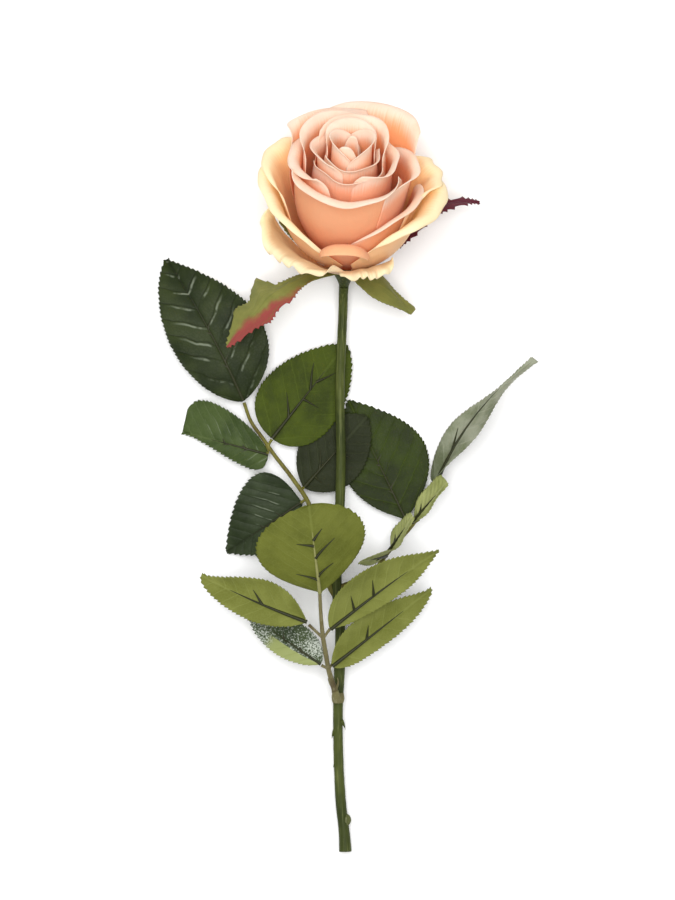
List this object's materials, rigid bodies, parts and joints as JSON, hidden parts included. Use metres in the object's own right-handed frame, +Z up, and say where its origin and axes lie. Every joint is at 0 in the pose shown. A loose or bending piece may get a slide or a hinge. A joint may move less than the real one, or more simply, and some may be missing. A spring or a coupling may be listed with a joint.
{
  "type": "cut rose",
  "caption": "Cut rose lying down: an open peach bloom of nested petals with long sepals, a prickly stem and three compound leaves with serrated leaflets.",
  "frame": {"origin": "centre of the bounding box in plan, on the surface the rose lies on", "axes": "+Y along the stem from the cut end toward the bloom, +Z up away from the surface, +X to the right of the bloom"},
  "size_m": [0.2024, 0.4012, 0.0853],
  "materials": {
    "petal_inner": "soft satin, warm peach",
    "petal_outer": "soft satin, pale cream peach",
    "sepal": "matte olive with dark red shading",
    "leaf": "green, glossy above and matte beneath",
    "stem": "satin olive green"
  },
  "bodies": {
    "root": {"petal_core": "petal_inner", "petal_heart": "petal_inner", "petal_vee_left": "petal_inner", "petal_vee_right": "petal_inner", "petal_vee_back": "petal_inner", "petal_ring_a": "petal_inner", "petal_left_in": "petal_inner", "petal_back_in": "petal_inner", "petal_ring_b": "petal_inner", "petal_right_in": "petal_inner", "petal_back_mid": "petal_inner", "petal_left_curl": "petal_inner", "petal_front": "petal_inner", "petal_right_mid": "petal_inner", "petal_back_left": "petal_inner", "petal_back_tall": "petal_inner", "petal_fold_right": "petal_inner", "petal_guard_left": "petal_outer", "petal_roll_front": "petal_outer", "petal_guard_right": "petal_outer", "petal_guard_front_left": "petal_outer", "petal_guard_front_right": "petal_outer", "petal_low_right": "petal_outer", "petal_low_left": "petal_outer", "petal_back_low_left": "petal_outer", "petal_back_low_right": "petal_outer", "sepal_right": "sepal", "sepal_left": "sepal", "sepal_side_right": "sepal", "sepal_side_left": "sepal", "sepal_under": "sepal", "receptacle": "stem", "stem": "stem", "left_stalk": "stem", "right_stalk": "stem", "front_stalk": "stem", "left_leaf_end": "leaf", "left_leaf_upper_out": "leaf", "left_leaf_upper_in": "leaf", "left_leaf_lower_out": "leaf", "left_leaf_lower_in": "leaf", "right_leaf_end": "leaf", "right_leaf_upper_out": "leaf", "right_leaf_upper_in": "leaf", "right_leaf_lower_out": "leaf", "right_leaf_lower_in": "leaf", "front_leaf_end": "leaf", "front_leaf_upper_left": "leaf", "front_leaf_upper_right": "leaf", "front_leaf_lower_left": "leaf", "front_leaf_lower_right": "leaf"}
  },
  "joints": []
}
